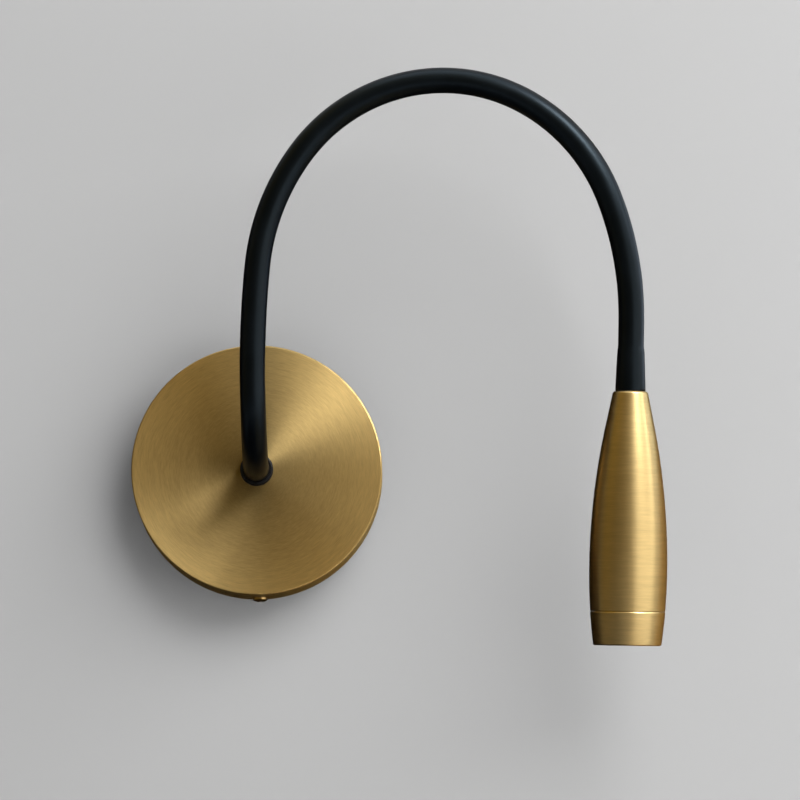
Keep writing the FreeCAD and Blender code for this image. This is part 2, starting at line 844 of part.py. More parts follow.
def make_neck_length(number):
    """One poseable length: its core, its sleeve and its two leads, cut to ball ends."""
    span = SPANS[number]
    tools = cut_tools(number)
    for node, outer, inner in (
        ("neck_sleeve", "sleeve_radius", SLEEVE_BORE),
        ("neck_core", "core_radius", "core_bore"),
    ):
        tube = bent_bar(span, outer)
        keep(f"{node}_{number}", minus(tube, [bent_bar(span, inner)] + tools))
    strands = []
    for run in LEAD_OFFSETS:
        strand = bent_bar(span, "lead_radius", *run[number])
        strands.append(minus(strand, tools))
    keep(f"neck_leads_{number}", group(strands))


def make_head_tubes():
    """The last straight run of core and sleeve, with the flare over the head ferrule."""
    tools = cut_tools(len(SPANS) - 1)
    back = "(ball_radius / 2.5)"
    flare = "(-flare_length)"
    start = f"(-{HEAD_RUN} - {back})"
    sleeve = [
        (SLEEVE_BORE, start),
        ("sleeve_radius", start),
        ("sleeve_radius", flare),
        ("sleeve_radius + flare_step", f"{flare} + flare_step_length"),
        (FLARE_RADIUS, "-seat_gap"),
        (f"{FLARE_RADIUS} - flare_wall", "-seat_gap"),
        (SLEEVE_BORE, flare),
    ]
    keep("neck_sleeve_head", minus(at(turned(sleeve), HEAD), tools))
    core = ring("core_bore", "core_radius", start, f"{flare} - seat_gap")
    keep("neck_core_head", minus(at(turned(core), HEAD), tools))


# ---------------------------------------------------------------------------------------
# Head. Its own Z runs down its axis from the top, where the sleeve's flare sits.
# ---------------------------------------------------------------------------------------
BELLY = "(head_length - belly_from_mouth)"
UPPER_RISE = "(belly_radius - cone_radius)"
UPPER_ARC = f"((({BELLY} - cone_length)^2 + {UPPER_RISE}^2) / (2 * {UPPER_RISE}))"
LOWER_RISE = "(belly_radius - mouth_radius)"
LOWER_ARC = f"((belly_from_mouth^2 + {LOWER_RISE}^2) / (2 * {LOWER_RISE}))"
SEAM_DROP = "(belly_from_mouth - ring_length)"
SEAM_RADIUS = f"(belly_radius - {LOWER_ARC} + sqrt({LOWER_ARC}^2 - {SEAM_DROP}^2))"


def make_head_ferrule():
    """Core spigot, taper under the sleeve's flare, and the stud into the head."""
    flare = "(-flare_length)"
    outline = [
        ("lead_bore", f"{flare} - spigot_length"),
        ("spigot_radius", f"{flare} - spigot_length"),
        ("spigot_radius", flare),
        ("core_radius", flare),
        (f"{FLARE_RADIUS} - flare_wall - fit_gap", "0"),
        ("head_stud_radius", "0"),
        ("head_stud_radius", "head_stud_length"),
        ("lead_bore", "head_stud_length"),
    ]
    keep("head_ferrule", at(turned(outline), HEAD))
    nut_place = HEAD * Placement(Vector(0, 0, size("head_top_wall")), Rotation())
    nut = hexagon(
        "head_nut_flats", "head_nut_height", "head_stud_radius + thread_gap", nut_place
    )
    keep("head_lock_nut", nut)


def make_head_shell():
    """The turned brass body: cone, belly, and the spigot that the front ring screws onto."""
    spigot_end = f"({SEAM} + ring_thread_length)"
    outline = [
        ("head_stud_radius + fit_gap", "0"),
        (FLARE_RADIUS, "0"),
        (f"{FLARE_RADIUS} + head_top_flare", "head_top_edge"),
        ("cone_radius", "cone_length"),
        ("belly_radius", BELLY),
        (SEAM_RADIUS, f"{SEAM} - seam_edge"),
        (f"{SEAM_RADIUS} - seam_edge", SEAM),
        ("ring_thread_radius", SEAM),
        ("ring_thread_radius", spigot_end),
        ("head_bore", spigot_end),
        ("head_bore", SLUG_BACK),
        ("cavity_radius", SLUG_BACK),
        ("cavity_radius", "cavity_cone_height"),
        ("nut_room_radius", "cone_length - 5"),
        ("nut_room_radius", "head_top_wall"),
        ("head_stud_radius + fit_gap", "head_top_wall"),
    ]
    arcs = {
        1: ("head_top_flare * 1.2", -1),
        3: (UPPER_ARC, -1),
        4: (LOWER_ARC, -1),
    }
    keep("head_shell", at(turned(outline, arcs), HEAD))


def make_front_ring():
    """The ring below the seam: threaded onto the shell, its lip keeps the lens in."""
    top = f"({SEAM} + seat_gap)"
    thread_end = f"({SEAM} + ring_thread_length + hole_gap)"
    outline = [
        ("ring_thread_radius + thread_gap", top),
        (f"{SEAM_RADIUS} - seam_edge", top),
        (SEAM_RADIUS, f"{top} + ring_edge"),
        ("mouth_radius", "head_length - mouth_edge"),
        ("mouth_radius - mouth_edge", "head_length"),
        ("lip_radius + mouth_edge", "head_length"),
        ("lip_radius", "head_length - mouth_edge"),
        ("lip_radius", LIP),
        ("ring_bore", LIP),
        ("ring_bore", thread_end),
        ("ring_thread_radius + thread_gap", thread_end),
    ]
    arcs = {2: (LOWER_ARC, -1), 3: ("mouth_edge * 1.1", -1)}
    keep("front_ring", at(turned(outline, arcs), HEAD))


def head_bar(radius, low, high, x="0"):
    """A cylinder in the head, parallel to its axis."""
    bar = doc.addObject("Part::Cylinder", label("head_bar"))
    bind(bar, Radius=radius, Height=f"({high}) - ({low})")
    bar.Placement = HEAD * Placement(Vector(size(x), 0, size(low)), Rotation())
    return bar


def screw_bars(radius, low, high):
    """Cylinders at the two board screws."""
    places = ("board_screw_circle", "-board_screw_circle")
    return [head_bar(radius, low, high, x) for x in places]


def make_light_engine():
    """Heat sink slug, thermal pad, board with its emitter and screws, holder, lens and seal."""
    slug_radius = "(head_bore - fit_gap)"
    slug = [("slug_hole", SLUG_BACK), (slug_radius, SLUG_BACK)]
    for number in range(1, 6):
        low = f"({SLUG_BACK} + {2 * number} * slug_groove)"
        high = f"({SLUG_BACK} + {2 * number + 1} * slug_groove)"
        floor = f"({slug_radius} - slug_groove_depth)"
        slug += [(slug_radius, low), (floor, low), (floor, high), (slug_radius, high)]
    slug += [(slug_radius, SLUG_FACE), ("slug_hole", SLUG_FACE)]
    hole_end = f"{BOARD_FACE} - board_screw_length - board_hole_depth"
    tapped = screw_bars("board_screw_radius + thread_gap", hole_end, SLUG_FACE)
    keep("heat_sink", minus(at(turned(slug), HEAD), tapped))
    clear = "board_screw_radius + hole_gap"
    pad = at(turned(ring("slug_hole", "pad_radius", SLUG_FACE, BOARD_BACK)), HEAD)
    keep("thermal_pad", minus(pad, screw_bars(clear, SLUG_FACE, BOARD_BACK)))
    board = head_bar("board_radius", BOARD_BACK, BOARD_FACE)
    keep("led_board", minus(board, screw_bars(clear, BOARD_BACK, BOARD_FACE)))

    chip = doc.addObject("Part::Box", label("chip"))
    bind(chip, Length="emitter_size", Width="emitter_size", Height="emitter_height")
    half = size("emitter_size") / 2
    corner = Vector(-half, -half, size(BOARD_FACE))
    chip.Placement = HEAD * Placement(corner, Rotation())
    dome_floor = f"({BOARD_FACE} + emitter_height)"
    dome = [("0", dome_floor), ("emitter_dome", dome_floor), ("0", f"{dome_floor} + emitter_dome")]
    lamp = at(turned(dome, {1: ("emitter_dome * 1.0001", -1)}), HEAD)
    keep("led_emitter", joined([chip, lamp]))

    screw = [
        ("0", f"{BOARD_FACE} - board_screw_length"),
        ("board_screw_radius", f"{BOARD_FACE} - board_screw_length"),
        ("board_screw_radius", BOARD_FACE),
        ("board_head_radius", BOARD_FACE),
        ("board_head_radius", f"{BOARD_FACE} + board_head_height - 0.5"),
        ("board_head_radius - 0.5", f"{BOARD_FACE} + board_head_height"),
        ("0", f"{BOARD_FACE} + board_head_height"),
    ]
    screws = []
    for x in ("board_screw_circle", "-board_screw_circle"):
        place = HEAD * Placement(Vector(size(x), 0, 0), Rotation())
        screws.append(at(turned(screw), place))
    keep("board_screws", group(screws))

    holder_outer = "(head_bore - hole_gap)"
    holder_inner = f"({holder_outer} - holder_wall)"
    holder = ring(holder_inner, holder_outer, f"{BOARD_FACE} + seat_gap", f"{LENS_SEAT} - seat_gap")
    keep("lens_holder", at(turned(holder), HEAD))
    tip = f"({LENS_FACE} - lens_height)"
    well = f"({tip} + lens_well_depth)"
    flange = "(ring_bore - fit_gap)"
    lens = [
        ("0", well),
        ("lens_well_radius", well),
        ("lens_well_radius", tip),
        ("lens_tip_radius", tip),
        (f"{holder_inner} - hole_gap", LENS_SEAT),
        (flange, LENS_SEAT),
        (flange, LENS_FACE),
        ("0", LENS_FACE),
    ]
    arcs = {3: (f"({holder_inner} - lens_tip_radius) * 1.9", -1)}
    keep("lens", at(turned(lens, arcs), HEAD))
    seal = ring("seal_radius", "ring_bore - fit_gap", LENS_FACE, LIP)
    keep("lens_seal", at(turned(seal), HEAD))


def make_head_leads():
    """The two leads from the last hinge through ferrule and heat sink to the board."""
    tool = cut_tools(len(SPANS) - 1)
    start = -size(f"{HEAD_RUN} + ball_radius / 2.5")
    strands = []
    for run in LEAD_OFFSETS:
        # along the head's own X and Y, which are minus the bend side and minus the side
        x, y = -run[-1][0], -run[-1][1]
        cavity = size("head_stud_length")
        slack = size("(cavity_radius - lead_offset) / 3")
        mid = (cavity + size(SLUG_BACK)) / 2
        local = [
            Vector(x, y, start),
            Vector(x, y, cavity + 3),
            Vector(x + slack, y, (cavity + mid) / 2 + 3),
            Vector(x + slack, y, (mid + size(SLUG_BACK)) / 2 - 3),
            Vector(x, y, size(SLUG_BACK) - 3),
            Vector(x, y, size(BOARD_BACK)),
        ]
        strand = lead([HEAD.multVec(point) for point in local])
        strands.append(minus(strand, tool))
    keep("head_leads", group(strands))


# ---------------------------------------------------------------------------------------
# Driver, terminal block and wiring behind the canopy
# ---------------------------------------------------------------------------------------
OUTPUT_LEVEL = "(circuit_face + lead_offset + lead_radius + hole_gap)"
OUTPUT_BEND = f"((canopy_depth - stud_length - {OUTPUT_LEVEL} - lead_offset) * 0.85)"
CONNECTOR_FACE = "(driver_inner + 3)"


def fixing_screws(places, foot, head):
    """M3 pan head screws at several places, between two distances from the wall."""
    outline = [
        ("0", foot),
        ("fixing_radius", foot),
        ("fixing_radius", head),
        ("fixing_head", head),
        ("fixing_head", f"{head} + fixing_head_height - 0.6"),
        ("fixing_head - 0.6", f"{head} + fixing_head_height"),
        ("0", f"{head} + fixing_head_height"),
    ]
    return group([at(turned(outline), out(x, z)) for x, z in places])


def make_driver():
    """A small constant current driver: tray with fixing lugs, lid, board and components."""
    base = "bracket_sheet"
    rim = "(bracket_sheet + driver_depth - driver_wall - seat_gap)"
    half = "(driver_height / 2)"
    wall = "driver_wall"
    shell = box(("driver_inner", DRIVER_OUTER), (base, rim), (f"-{half}", half))
    lugs = box(
        (f"{DRIVER_MIDDLE} - lug_width / 2", f"{DRIVER_MIDDLE} + lug_width / 2"),
        (base, f"{base} + lug_sheet"),
        (f"-{half} - lug_length", f"{half} + lug_length"),
    )
    floor = f"({base} + {wall})"
    room = box(
        (f"driver_inner + {wall}", f"{DRIVER_OUTER} - {wall}"),
        (floor, rim),
        (f"{wall} - {half}", f"{half} - {wall}"),
    )
    board_level = f"({floor} + board_post)"
    posts = []
    for side in (1, -1):
        x = f"{DRIVER_MIDDLE} + {side} * (driver_width / 2 - {wall} - 2)"
        for end in (1, -1):
            z = f"{end} * ({half} - {wall} - 2)"
            posts.append(rod("1.2", x, z, (floor, board_level)))
    lug = (base, f"{base} + lug_sheet")
    clear = "fixing_radius + hole_gap"
    holes = [rod(clear, DRIVER_MIDDLE, f"{sign}{LUG_LINE}", lug) for sign in ("", "-")]
    through = ("driver_inner", f"driver_inner + {wall}")
    for line in ("wire_line_1", "wire_line_2"):
        holes.append(cross_rod("wire_radius + hole_gap", through, "wire_level", line))
    holes.append(cross_rod("lead_radius * 2 + 0.7", through, OUTPUT_LEVEL, "0"))
    keep("driver_case", joined([minus(joined([shell, lugs]), [room] + holes)] + posts))

    lid_top = f"({rim} + seat_gap + {wall})"
    lid_face = f"({rim} + seat_gap)"
    plate = box(("driver_inner", DRIVER_OUTER), (lid_face, lid_top), (f"-{half}", half))
    inset = f"({wall} + fit_gap)"
    lip = box(
        (f"driver_inner + {inset}", f"{DRIVER_OUTER} - {inset}"),
        (f"{lid_face} - lid_lip", lid_face),
        (f"{inset} - {half}", f"{half} - {inset}"),
    )
    keep("driver_lid", joined([plate, lip]))

    edge = f"({wall} + 0.3)"
    board_top = f"({board_level} + circuit_sheet)"
    circuit = box(
        (f"driver_inner + {edge}", f"{DRIVER_OUTER} - {edge}"),
        (board_level, board_top),
        (f"{edge} - {half}", f"{half} - {edge}"),
    )
    keep("driver_board", circuit)
    connectors = []
    top = f"{board_top} + component_height - 1"
    for low, high in (("wire_line_1 - 2", f"{half} - {edge}"), ("-2.5", "2.5")):
        connectors.append(box((CONNECTOR_FACE, f"{CONNECTOR_FACE} + 4"), (board_top, top), (low, high)))
    coil_x = f"{CONNECTOR_FACE} + 6"
    heights = (board_top, f"{board_top} + component_height")
    coil = box((coil_x, f"{coil_x} + 8"), heights, ("-9", "1"))
    can = rod("2.5", f"{coil_x} + 4", f"{half} - 7", heights)
    keep("driver_components", group(connectors + [coil, can]))
    places = [(DRIVER_MIDDLE, LUG_LINE), (DRIVER_MIDDLE, f"-{LUG_LINE}")]
    keep("driver_screws", fixing_screws(places, "0.3", f"({base} + lug_sheet)"))


def make_terminal_block():
    """A three pole screw terminal block with brass clamps."""
    base, top = "bracket_sheet", "(bracket_sheet + block_depth)"
    near, far = "(-block_inner)", "(-block_inner - block_width)"
    half = "(pole_pitch + block_margin)"
    body = box((far, near), (base, top), (f"-{half}", half))
    screw_rows = (f"{near} - 4.5", f"{far} + 4.5")
    poles = ("pole_pitch", "0", "-pole_pitch")
    clamp_span = (f"{far} + 2", f"{near} - 2")
    holes = []
    for z in poles:
        holes.append(cross_rod("clamp_radius + fit_gap", clamp_span, "wire_level", z))
        holes.append(cross_rod("clamp_bore + fit_gap", (far, near), "wire_level", z))
        for x in screw_rows:
            holes.append(rod("clamp_screw_radius + 0.3", x, z, ("wire_level", top)))
    for sign in ("", "-"):
        middle = f"-{BLOCK_MIDDLE}"
        holes.append(rod("fixing_radius + hole_gap", middle, f"{sign}pole_pitch / 2", (base, top)))
        sunk = (f"{top} - 3", top)
        holes.append(rod("fixing_head + fit_gap", middle, f"{sign}pole_pitch / 2", sunk))
    keep("terminal_block", minus(body, holes))
    clamps, screws = [], []
    for z in poles:
        tube = cross_rod("clamp_radius", clamp_span, "wire_level", z)
        bores = [cross_rod("clamp_bore", clamp_span, "wire_level", z)]
        for x in screw_rows:
            over = ("wire_level", "wire_level + clamp_radius")
            bores.append(rod("clamp_screw_radius + thread_gap", x, z, over))
            tip = "wire_level + wire_radius + seat_gap"
            screws.append(rod("clamp_screw_radius", x, z, (tip, f"{top} - 1")))
        clamps.append(minus(tube, bores))
    keep("terminal_clamps", group(clamps))
    keep("terminal_screws", group(screws))
    places = [(f"-{BLOCK_MIDDLE}", f"{sign}pole_pitch / 2") for sign in ("", "-")]
    keep("terminal_block_screws", fixing_screws(places, "0.3", f"({top} - 3)"))


def make_wiring():
    """Supply wires from block to driver, the earth wire, and the leads up to the neck."""
    level = -size("wire_level")
    inside = -size("block_inner + 6")
    leave = -size("block_inner - 5.5")
    butt = size(CONNECTOR_FACE)
    wires = []
    for pole, line in (("pole_pitch", "wire_line_2"), ("0", "wire_line_1")):
        route = [
            Vector(inside, level, size(pole)),
            Vector(leave, level, size(pole)),
            Vector(leave + 7, level, size(line)),
            Vector(butt, level, size(line)),
        ]
        wires.append(lead(route, "wire_radius"))
    keep("supply_wires", group(wires))
    barrel_level = -size("bracket_sheet + barrel_radius")
    earth_z = -size("earth_level")
    route = [
        Vector(inside, level, -size("pole_pitch")),
        Vector(leave - 3, level, -size("pole_pitch")),
        Vector(leave - 0.5, barrel_level, earth_z),
        Vector(-size("earth_ring_radius + 3"), barrel_level, earth_z),
    ]
    keep("earth_wire", lead(route, "wire_radius"))

    tool = cut_tools(0)
    strands = []
    for run in LEAD_OFFSETS:
        x = run[0][1] * -1
        turn_level = -size(OUTPUT_LEVEL) - x
        end = SPANS[0].station(SPANS[0].length)[0]
        route = [
            Vector(butt, turn_level, 0),
            Vector(x, turn_level, 0),
            Vector(x, end.y, 0),
        ]
        strands.append(minus(lead(route, bend=size(OUTPUT_BEND)), tool))
    keep("output_leads", group(strands))


# ---------------------------------------------------------------------------------------
# Build, check and write
# ---------------------------------------------------------------------------------------
make_bracket()
make_inlet()
make_earth_point()
make_canopy()
make_side_screws()
make_neck_root()
make_root_tubes()
for length_number in range(1, len(SPANS) - 1):
    make_neck_length(length_number)
make_head_tubes()
make_head_ferrule()
make_head_shell()
make_front_ring()
make_light_engine()
make_head_leads()
make_driver()
make_terminal_block()
make_wiring()
doc.recompute()

faults = []
for thing in doc.Objects:
    if {"Invalid", "Error"} & set(thing.State):
        faults.append(f"{thing.Name} ({thing.Label}): {thing.State}")
for piece in pieces:
    if piece.Shape.isNull() or not piece.Shape.isValid() or not piece.Shape.Solids:
        faults.append(f"{piece.Label} has no valid solid")
if faults:
    raise SystemExit("\n".join(faults))

os.makedirs("parts", exist_ok=True)
for piece in pieces:
    piece.Shape.exportStep(f"parts/{piece.Label}.step")
    print(f"{piece.Label}: {len(piece.Shape.Solids)} solid(s), {piece.Shape.Volume:.1f} mm3")
print(f"{len(pieces)} pieces")
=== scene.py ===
import json
import math

import bmesh
import bpy
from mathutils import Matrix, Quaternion, Vector


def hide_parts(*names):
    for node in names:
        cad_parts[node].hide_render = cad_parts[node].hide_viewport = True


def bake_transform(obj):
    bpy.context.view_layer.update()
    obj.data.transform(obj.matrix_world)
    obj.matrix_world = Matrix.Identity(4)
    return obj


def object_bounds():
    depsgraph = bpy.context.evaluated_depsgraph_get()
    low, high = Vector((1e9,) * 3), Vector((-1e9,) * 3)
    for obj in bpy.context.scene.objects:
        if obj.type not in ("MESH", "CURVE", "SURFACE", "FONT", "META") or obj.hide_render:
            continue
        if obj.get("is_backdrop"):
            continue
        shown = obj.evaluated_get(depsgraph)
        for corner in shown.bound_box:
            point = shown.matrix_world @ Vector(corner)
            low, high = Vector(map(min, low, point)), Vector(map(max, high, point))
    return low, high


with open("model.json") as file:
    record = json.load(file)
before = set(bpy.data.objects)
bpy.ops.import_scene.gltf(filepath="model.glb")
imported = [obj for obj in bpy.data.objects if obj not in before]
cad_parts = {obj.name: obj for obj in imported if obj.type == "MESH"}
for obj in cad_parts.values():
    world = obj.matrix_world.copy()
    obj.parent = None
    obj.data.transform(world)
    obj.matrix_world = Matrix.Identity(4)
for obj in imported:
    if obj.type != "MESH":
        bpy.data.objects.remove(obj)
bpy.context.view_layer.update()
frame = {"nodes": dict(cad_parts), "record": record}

# A bedside wall reading lamp. The CAD solids keep their places: the brass, the screws and
# everything inside get materials, and the black sleeve of the flexible neck is one smooth
# skin here, in eight pieces that each reach across one joint.

NODES = frame["nodes"]


# ---------------------------------------------------------------------------------------
# Sizes, in metres and degrees
# ---------------------------------------------------------------------------------------
CANOPY_RADIUS = 0.0504
CANOPY_DEPTH = 0.022
SLEEVE_RADIUS = 0.005095
SLEEVE_INSIDE = 0.0045
SLEEVE_SIDES = 64
RING_STEP = 0.0008
SLEEVE_START = 0.0013
STUB = 0.014
ELBOW_RADIUS = 0.028
ELBOW_TURN = 86
SPAN = 0.050
HEAD_RUN = 0.028
TINY = 1e-9

# Each stretch of the neck: its length, its turn, and the roll of its plane before the turn
ROUTE = (
    (STUB, 0, 0),
    (ELBOW_RADIUS * math.radians(ELBOW_TURN), ELBOW_TURN, 1.5),
    (SPAN, 7, -88),
    (SPAN, 31.5, -3),
    (SPAN, 41, -2),
    (SPAN, 42.5, -2),
    (SPAN, 38.5, 5),
    (SPAN, 22, 0.5),
    (HEAD_RUN, 0, 0),
)

# The sleeve's end over the head's ferrule: distance before the end, and outside radius
FLARE = (
    (0.0190, 0.00510),
    (0.0180, 0.00511),
    (0.0172, 0.00516),
    (0.0163, 0.00532),
    (0.0155, 0.00540),
    (0.0135, 0.00549),
    (0.0100, 0.00565),
    (0.0050, 0.00583),
    (0.0006, 0.00600),
    (0.0002, 0.00593),
    (0.0001, 0.00580),
)
FLARE_WALL = 0.00095

# Half lengths of the sleeve's bend about the rim of the core's ball, just before each joint's
# stretch; the pieces here do not bend, and these set only bend_from and bend_to, which nothing
# uses
RIM_BEFORE_START = 0.0006
HALF_BEND_AT_COLLAR = 0.0102
HALF_BEND = 0.014
HALF_BEND_AT_FLARE = 0.0096
HALF_BENDS = [HALF_BEND_AT_COLLAR] + [HALF_BEND] * 6 + [HALF_BEND_AT_FLARE]


# ---------------------------------------------------------------------------------------
# Neck centreline
# ---------------------------------------------------------------------------------------
class Stretch:
    """One straight or arc of the neck's centreline."""

    def __init__(self, point, way, bend, length, turn):
        self.point, self.way, self.bend, self.length = point, way, bend, length
        self.radius = length / math.radians(turn) if turn else None

    def station(self, distance):
        """The point, the direction and the side that it bends to, at a distance along it."""
        if self.radius is None:
            return self.point + self.way * distance, self.way, self.bend
        angle = distance / self.radius
        sine, cosine = math.sin(angle), math.cos(angle)
        across = self.radius * (1 - cosine)
        point = self.point + self.way * (self.radius * sine) + self.bend * across
        return point, self.way * cosine + self.bend * sine, self.bend * cosine - self.way * sine


def neck_route():
    """The neck's stretches, from the middle of the canopy's face to the head."""
    point, way, bend = Vector((0, -CANOPY_DEPTH, 0)), Vector((0, -1, 0)), Vector((0, 0, 1))
    stretches = []
    for length, turn, roll in ROUTE:
        bend = Quaternion(way, math.radians(roll)) @ bend
        stretches.append(Stretch(point, way, bend, length, turn))
        point, way, bend = stretches[-1].station(length)
    return stretches


STRETCHES = neck_route()
STARTS = [sum(row[0] for row in ROUTE[:number]) for number in range(len(ROUTE))]
NECK_LENGTH = sum(row[0] for row in ROUTE)


def neck_station(distance):
    """The neck's point and direction at a distance along it from the canopy's face."""
    for start, stretch in zip(reversed(STARTS), reversed(STRETCHES)):
        if distance >= start - TINY:
            point, way, _ = stretch.station(distance - start)
            return point, way
    raise ValueError(distance)


# ---------------------------------------------------------------------------------------
# Shader nodes
# ---------------------------------------------------------------------------------------
def set_inputs(node, inputs):
    """Sets a node's inputs, each to a value or linked from another node's socket."""
    for key, value in inputs.items():
        if isinstance(value, bpy.types.NodeSocket):
            node.id_data.links.new(value, node.inputs[key])
        else:
            node.inputs[key].default_value = value


def node_adder(tree):
    """A helper that adds a node to this tree, with its inputs and settings."""

    def add(kind, inputs=None, **settings):
        node = tree.nodes.new(kind)
        for key, value in settings.items():
            setattr(node, key, value)
        set_inputs(node, inputs or {})
        return node

    return add


def new_material(name):
    """A material with its Principled shader and a helper that adds nodes."""
    material = bpy.data.materials.new(name)
    material.use_nodes = True
    shader = material.node_tree.nodes["Principled BSDF"]
    return material, shader, node_adder(material.node_tree)


def math_node(add, operation, first, second):
    return add("ShaderNodeMath", {0: first, 1: second}, operation=operation).outputs[0]


def vector_node(add, operation, first, second=None, scale=None):
    inputs = {0: first}
    if second is not None:
        inputs[1] = second
    if scale is not None:
        inputs["Scale"] = scale
    node = add("ShaderNodeVectorMath", inputs, operation=operation)
    return node.outputs["Value" if operation in ("LENGTH", "DOT_PRODUCT") else "Vector"]


def noise_node(add, place, scale, detail, roughness=0.5):
    inputs = {"Vector": place, "Scale": scale, "Detail": detail, "Roughness": roughness}
    return add("ShaderNodeTexNoise", inputs).outputs["Fac"]


def range_node(add, value, from_min, from_max, to_min=0.0, to_max=1.0):
    """A value's range mapped on another, held at its ends."""
    inputs = {
        "Value": value,
        "From Min": from_min,
        "From Max": from_max,
        "To Min": to_min,
        "To Max": to_max,
    }
    return add("ShaderNodeMapRange", inputs).outputs["Result"]


def ramp_node(add, factor, stops):
    """A colour ramp: stops of position and colour."""
    node = add("ShaderNodeValToRGB", {"Fac": factor})
    elements = node.color_ramp.elements
    while len(elements) < len(stops):
        elements.new(0.5)
    for element, (position, colour) in zip(elements, stops):
        element.position = position
        element.color = (*colour, 1)
    return node.outputs["Color"]


def tone_node(add, factor, colour, swing, low, high):
    """A colour that goes darker and lighter by a share, from the factor low to high."""
    dark = tuple(part * (1 - swing) for part in colour)
    light = tuple(min(1.0, part * (1 + swing)) for part in colour)
    return ramp_node(add, factor, ((low, dark), (high, light)))


def mix_node(add, factor, first, second):
    inputs = {"Factor": factor, "A": first, "B": second}
    return add("ShaderNodeMix", inputs, data_type="RGBA").outputs["Result"]


def bump_node(add, height, strength, depth):
    inputs = {"Height": height, "Strength": strength, "Distance": depth}
    return add("ShaderNodeBump", inputs).outputs["Normal"]


# ---------------------------------------------------------------------------------------
# Materials
# ---------------------------------------------------------------------------------------
BRASS = (0.50, 0.358, 0.146)
# The head's brass: a lighter, paler copy of the canopy's, painted light so that the head's
# highlight shows brighter and whiter
BRASS_BRIGHT = (0.56, 0.410, 0.178)
BRASS_EDGE = (0.26, 0.16, 0.06)
RUBBER_DARK = (0.0010, 0.0017, 0.0030)
RUBBER_LIGHT = (0.0017, 0.0027, 0.0044)
RUBBER_SHEEN = (0.65, 0.86, 1.0)
LENS_TINT = (0.93, 0.95, 0.95)
ACRYLIC_IOR = 1.49

# Noise values lie mostly between these
NOISE_LOW, NOISE_HIGH = 0.3, 0.7

# Turned brass: the broader lines beside the fine ones, and the cloudy change over both
COARSE_PITCH = 5
COARSE_ARC = 0.4
CLOUD_SCALE = 28.0
CLOUD_WEIGHT = 0.35
LINE_DEPTH = 0.00005

# Painted light and shade: the face's tone rises with the distance from the axis, between these,
# darker round the neck and lighter toward the rim
RIM_FROM, RIM_TO = 0.010, 0.048


def turned_brass(
    name,
    *,
    colour,
    axis_point,
    axis,
    roughness,
    anisotropy,
    coat,
    coat_roughness,
    line_pitch,
    arc,
    coarse_weight,
    streaks,
    rim,
    relief,
):
    """Brass with fine circular lines about an axis, given in the part's own space.

    The lines lie line_pitch apart, and a larger arc breaks them into shorter ones. Streaks is
    how far the tone swings between them, relief their depth in the bump, and rim how much
    lighter the outside is than the middle: painted light and shade, darker round the neck and
    lighter toward the edge.
    """
    material, shader, add = new_material(name)
    place = add("ShaderNodeTexCoord").outputs["Object"]
    normal = add("ShaderNodeNewGeometry").outputs["Normal"]
    from_axis = vector_node(add, "SUBTRACT", place, tuple(axis_point))
    along = vector_node(add, "DOT_PRODUCT", from_axis, tuple(axis))
    axial = vector_node(add, "SCALE", tuple(axis), scale=along)
    radial = vector_node(add, "SUBTRACT", from_axis, axial)
    distance = vector_node(add, "LENGTH", radial)
    around = vector_node(add, "NORMALIZE", radial)

    # the lines run round the axis: fine across, long around
    def lines(pitch, turns, seed, detail):
        across = math_node(add, "ADD", distance, along)
        step = math_node(add, "DIVIDE", across, pitch)
        sweep = vector_node(add, "SCALE", around, scale=turns)
        shift = vector_node(add, "SCALE", tuple(axis), scale=step)
        point = vector_node(add, "ADD", sweep, shift)
        point = vector_node(add, "ADD", point, (seed, seed * 1.7, seed * 0.3))
        return noise_node(add, point, 1.0, detail, roughness=0.6)

    fine = lines(line_pitch, arc, 3.1, 3.0)
    coarse = lines(line_pitch * COARSE_PITCH, arc * COARSE_ARC, 11.7, 2.0)
    cloud = noise_node(add, place, CLOUD_SCALE, 3.0)
    mixed = math_node(add, "ADD", fine, math_node(add, "MULTIPLY", coarse, coarse_weight))
    mixed = math_node(add, "ADD", mixed, math_node(add, "MULTIPLY", cloud, CLOUD_WEIGHT))
    spread = range_node(add, mixed, 0.45 + coarse_weight * 0.3, 0.9 + coarse_weight * 0.7)
    tone = tone_node(add, spread, colour, streaks, 0.0, 1.0)
    # painted light and shade: the tone is darker round the middle, where the neck shades the face,
    # and lighter toward the rim
    painted_rim_light = range_node(add, distance, RIM_FROM, RIM_TO, -rim, rim)
    lift = math_node(add, "ADD", painted_rim_light, 1.0)

    # gloss spreads across the lines: square to them, in the surface
    ring = add(
        "ShaderNodeVectorTransform",
        {"Vector": vector_node(add, "CROSS_PRODUCT", tuple(axis), around)},
        vector_type="VECTOR",
        convert_from="OBJECT",
        convert_to="WORLD",
    )
    set_inputs(
        shader,
        {
            "Base Color": vector_node(add, "SCALE", tone, scale=lift),
            "Roughness": range_node(
                add, fine, NOISE_LOW, NOISE_HIGH, roughness - 0.03, roughness + 0.04
            ),
            "Metallic": 1.0,
            "Specular Tint": (*BRASS_EDGE, 1),
            "Anisotropic": anisotropy,
            "Coat Weight": coat,
            "Coat Roughness": coat_roughness,
            "Tangent": vector_node(add, "CROSS_PRODUCT", ring.outputs["Vector"], normal),
            "Normal": bump_node(add, mixed, relief, LINE_DEPTH),
        },
    )
    return material


